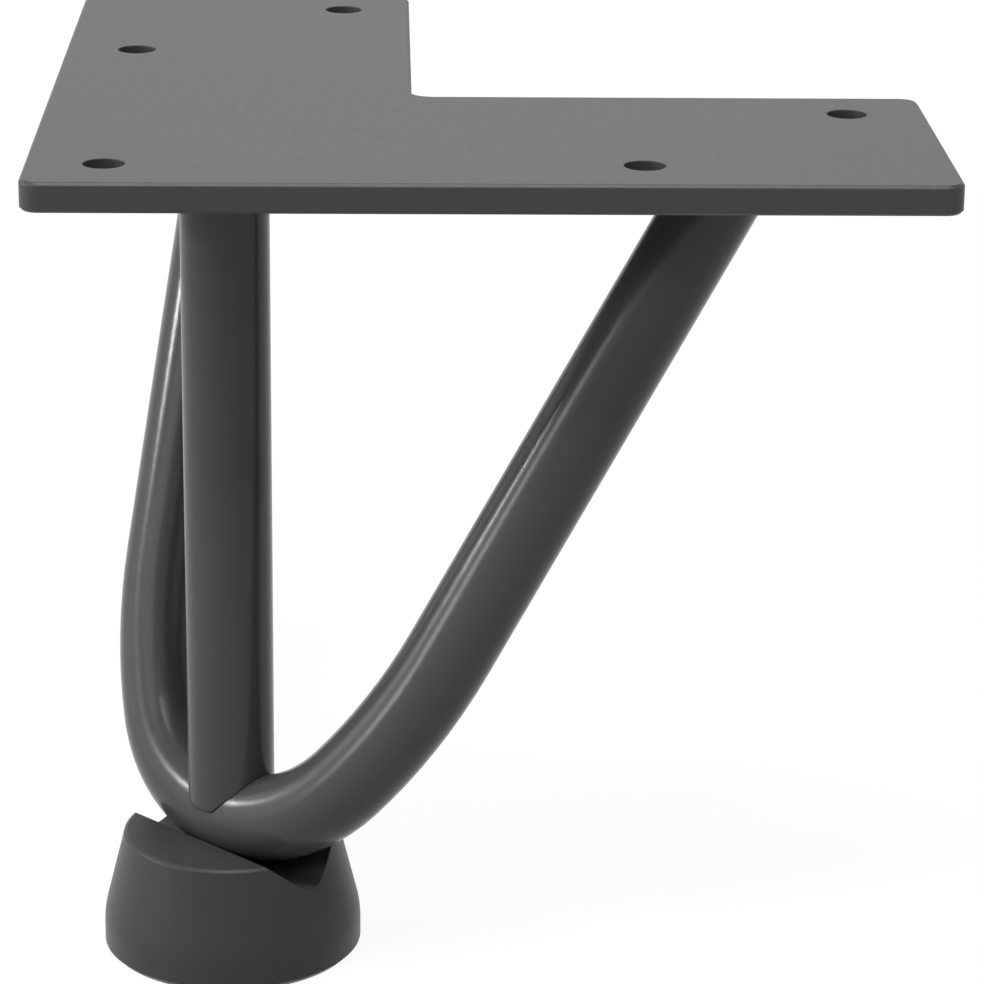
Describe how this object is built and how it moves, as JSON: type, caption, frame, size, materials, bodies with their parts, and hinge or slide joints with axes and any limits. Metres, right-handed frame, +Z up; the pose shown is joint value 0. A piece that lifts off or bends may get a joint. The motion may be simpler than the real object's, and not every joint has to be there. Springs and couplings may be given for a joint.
{
  "type": "hairpin table leg",
  "caption": "Short hairpin table leg: L-shaped screw plate on top, slanted U-bent round bar welded to an upright bar, and a round moulded foot under the bend.",
  "frame": {"origin": "on the plate's top face, on the axis of the upright bar", "axes": "+Z up, out of the face that goes against the table; +X and +Y along the two arms of the plate, away from its outer corner"},
  "size_m": [0.12, 0.12, 0.116],
  "materials": {
    "coated_steel": "satin anthracite powder coat",
    "coated_weld": "powder-coated weld bead",
    "foot_plastic": "satin moulded plastic"
  },
  "bodies": {
    "root": {"mounting_plate": "coated_steel", "hairpin_rod": "coated_steel", "straight_rod": "coated_steel", "straight_rod_weld": "coated_weld", "hairpin_weld_x": "coated_weld", "hairpin_weld_y": "coated_weld", "saddle_weld": "coated_weld", "foot": "foot_plastic"}
  },
  "joints": []
}
